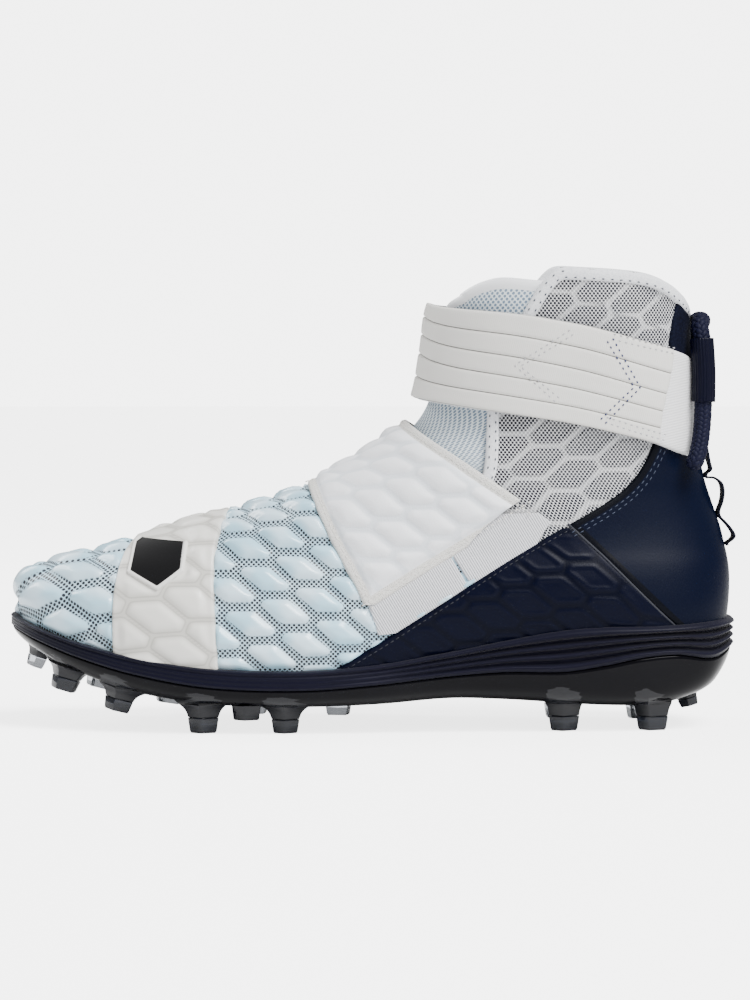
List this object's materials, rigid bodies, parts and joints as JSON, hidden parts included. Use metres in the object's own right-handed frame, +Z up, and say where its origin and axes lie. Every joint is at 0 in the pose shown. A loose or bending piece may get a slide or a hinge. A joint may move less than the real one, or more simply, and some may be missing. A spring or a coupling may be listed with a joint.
{
  "type": "american football cleat",
  "caption": "High-top left cleat with a studded plate, a padded instep strap, an elastic ankle strap and a cord pull handle at the heel, standing empty on its studs.",
  "frame": {"origin": "on the floor under the middle of the shoe's overall box", "axes": "+X from heel to toe, +Y to the lateral side, +Z up"},
  "size_m": [0.3022, 0.1084, 0.1907],
  "materials": {
    "ice_mesh": "pale blue knit mesh with a grid of dark pinholes and gloss pads",
    "tongue_mesh": "soft padded mesh",
    "insole_foam": "matt cloth on foam",
    "navy_foam": "satin moulded foam with grooves",
    "black_plate": "glossy, slightly see-through at the edges",
    "smoke_tip": "smoke-clear moulded tips",
    "navy_skin": "smooth and embossed synthetic skin",
    "cream_skin": "soft satin synthetic skin, padded",
    "white_skin": "soft matt padded synthetic, and tape",
    "white_elastic": "ribbed matt elastic",
    "cream_elastic": "ribbed satin elastic with chevron stitches",
    "black_gloss": "high gloss, plain",
    "navy_rope": "braided cord and soft ribbed tube",
    "navy_webbing": "flat woven tape"
  },
  "bodies": {
    "root": {"upper": "ice_mesh", "tongue": "tongue_mesh", "insole": "insole_foam", "midsole": "navy_foam", "outsole_plate": "black_plate", "stud_tip_toe": "smoke_tip", "stud_tip_lateral_1": "smoke_tip", "stud_tip_lateral_2": "smoke_tip", "stud_tip_lateral_3": "smoke_tip", "stud_tip_lateral_4": "smoke_tip", "stud_tip_medial_1": "smoke_tip", "stud_tip_medial_2": "smoke_tip", "stud_tip_medial_3": "smoke_tip", "stud_tip_medial_4": "smoke_tip", "stud_tip_heel_lateral_front": "smoke_tip", "stud_tip_heel_lateral_rear": "smoke_tip", "stud_tip_heel_medial_front": "smoke_tip", "stud_tip_heel_medial_rear": "smoke_tip", "stud_tip_heel_back": "smoke_tip", "heel_counter": "navy_skin", "side_panel_lateral": "navy_skin", "side_panel_medial": "navy_skin", "instep_strap": "white_skin", "gore_front_lateral": "white_elastic", "gore_rear_lateral": "white_elastic", "gore_front_medial": "white_elastic", "gore_rear_medial": "white_elastic", "forefoot_band": "cream_skin", "band_badge": "black_gloss", "throat_binding_lateral": "white_skin", "throat_binding_medial": "white_skin", "ankle_strap": "white_elastic", "ankle_strap_ribbed_end": "cream_elastic", "pull_rope": "navy_rope", "rope_sleeve_lateral": "navy_rope", "rope_sleeve_medial": "navy_rope", "heel_webbing": "navy_webbing"}
  },
  "joints": []
}
